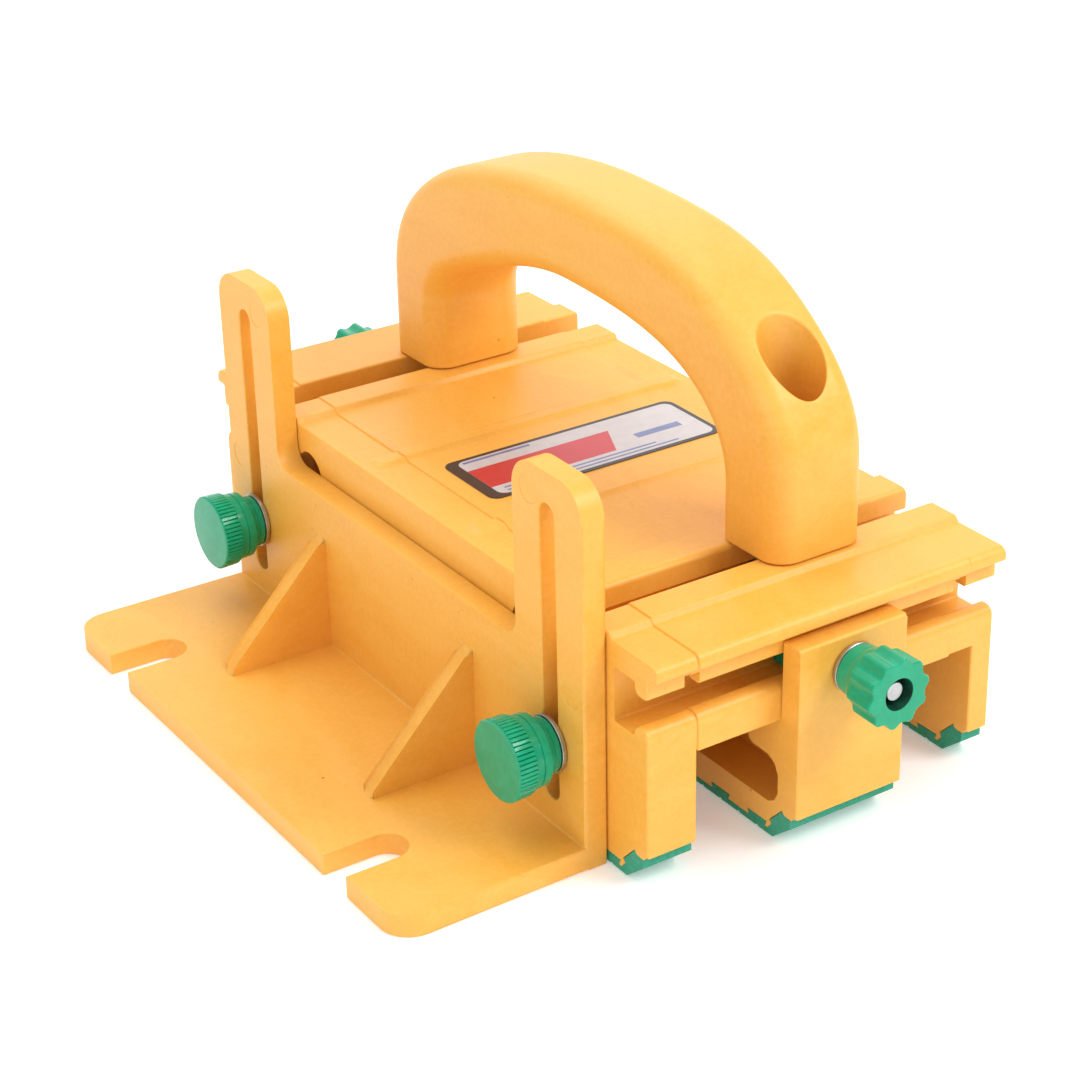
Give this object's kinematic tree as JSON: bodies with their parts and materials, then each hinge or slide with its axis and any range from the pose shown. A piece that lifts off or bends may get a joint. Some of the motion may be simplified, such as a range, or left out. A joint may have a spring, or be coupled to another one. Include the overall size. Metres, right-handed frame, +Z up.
{
  "type": "table saw push block",
  "caption": "Hand push block for a table saw, with an adjustable middle leg, a sliding arched handle and a bolt-on slotted balance support that holds it level.",
  "frame": {"origin": "middle of the bounding box at the level of the soles, where the block and its support stand", "axes": "+X across the block, from the balance support to the thin right leg; +Y along the block, from the near to the far end; +Z up"},
  "size_m": [0.158, 0.2462, 0.1283],
  "materials": {
    "yellow_plastic": "satin warm yellow moulded plastic",
    "green_plastic": "semi-gloss green moulded plastic",
    "green_rubber": "matt green grip rubber",
    "zinc_steel": "zinc-plated steel",
    "brass": "plain turned brass",
    "label_film": "printed film, dark border, white field and one red band, no lettering"
  },
  "bodies": {
    "block": {"main_body": "yellow_plastic", "left_sole": "green_rubber", "right_sole": "green_rubber", "label": "label_film", "side_insert_near": "brass", "side_insert_far": "brass"},
    "balance_support": {"balance_support": "yellow_plastic"},
    "centre_leg": {"centre_leg": "yellow_plastic", "centre_sole": "green_rubber", "star_bolt_near": "zinc_steel", "star_bolt_far": "zinc_steel", "slider_near": "green_plastic", "slider_far": "green_plastic"},
    "handle": {"handle": "yellow_plastic", "handle_bolt_near": "zinc_steel", "handle_bolt_far": "zinc_steel", "handle_washer_near": "zinc_steel", "handle_washer_far": "zinc_steel", "handle_tnut_near": "zinc_steel", "handle_tnut_far": "zinc_steel"},
    "side_washer_near": {"side_washer_near": "zinc_steel"},
    "side_knob_near": {"side_knob_near": "green_plastic", "side_stud_near": "zinc_steel"},
    "star_washer_near": {"star_washer_near": "zinc_steel"},
    "star_knob_near": {"star_knob_near": "green_plastic", "star_bush_near": "brass"},
    "side_washer_far": {"side_washer_far": "zinc_steel"},
    "side_knob_far": {"side_knob_far": "green_plastic", "side_stud_far": "zinc_steel"},
    "star_washer_far": {"star_washer_far": "zinc_steel"},
    "star_knob_far": {"star_knob_far": "green_plastic", "star_bush_far": "brass"}
  },
  "joints": [
    {"name": "support_height", "type": "slide", "parent": "block", "child": "balance_support", "axis": [0, 0, 1], "range_m": [-0.057, 0.011]},
    {"name": "centre_leg_slide", "type": "slide", "parent": "block", "child": "centre_leg", "axis": [1, 0, 0], "range_m": [-0.023, 0.0267]},
    {"name": "handle_slide", "type": "slide", "parent": "block", "child": "handle", "axis": [1, 0, 0], "range_m": [-0.044, 0.025]},
    {"name": "side_washer_near_slide", "type": "slide", "parent": "block", "child": "side_washer_near", "axis": [-1, 0, 0], "range_m": [0, 0.0022]},
    {"name": "side_knob_near_turn", "type": "hinge", "parent": "side_washer_near", "child": "side_knob_near", "pos_m": [-0.0307, -0.0712, 0.0276], "axis": [-1, 0, 0], "range_deg": [0, 720]},
    {"name": "star_washer_near_slide", "type": "slide", "parent": "centre_leg", "child": "star_washer_near", "axis": [0, -1, 0], "range_m": [0, 0.0022]},
    {"name": "star_knob_near_turn", "type": "hinge", "parent": "star_washer_near", "child": "star_knob_near", "pos_m": [0.03, -0.1088, 0.0446], "axis": [0, -1, 0], "range_deg": [0, 720]},
    {"name": "side_washer_far_slide", "type": "slide", "parent": "block", "child": "side_washer_far", "axis": [-1, 0, 0], "range_m": [0, 0.0022]},
    {"name": "side_knob_far_turn", "type": "hinge", "parent": "side_washer_far", "child": "side_knob_far", "pos_m": [-0.0307, 0.0712, 0.0276], "axis": [-1, 0, 0], "range_deg": [0, 720]},
    {"name": "star_washer_far_slide", "type": "slide", "parent": "centre_leg", "child": "star_washer_far", "axis": [0, 1, 0], "range_m": [0, 0.0022]},
    {"name": "star_knob_far_turn", "type": "hinge", "parent": "star_washer_far", "child": "star_knob_far", "pos_m": [0.03, 0.1088, 0.0446], "axis": [0, 1, 0], "range_deg": [0, 720]}
  ],
  "couplings": [
    {"joint": "side_washer_near_slide", "follows": "side_knob_near_turn", "m_per_rad": 0.00016839},
    {"joint": "star_washer_near_slide", "follows": "star_knob_near_turn", "m_per_rad": 0.00016839},
    {"joint": "side_washer_far_slide", "follows": "side_knob_far_turn", "m_per_rad": 0.00016839},
    {"joint": "star_washer_far_slide", "follows": "star_knob_far_turn", "m_per_rad": 0.00016839}
  ]
}
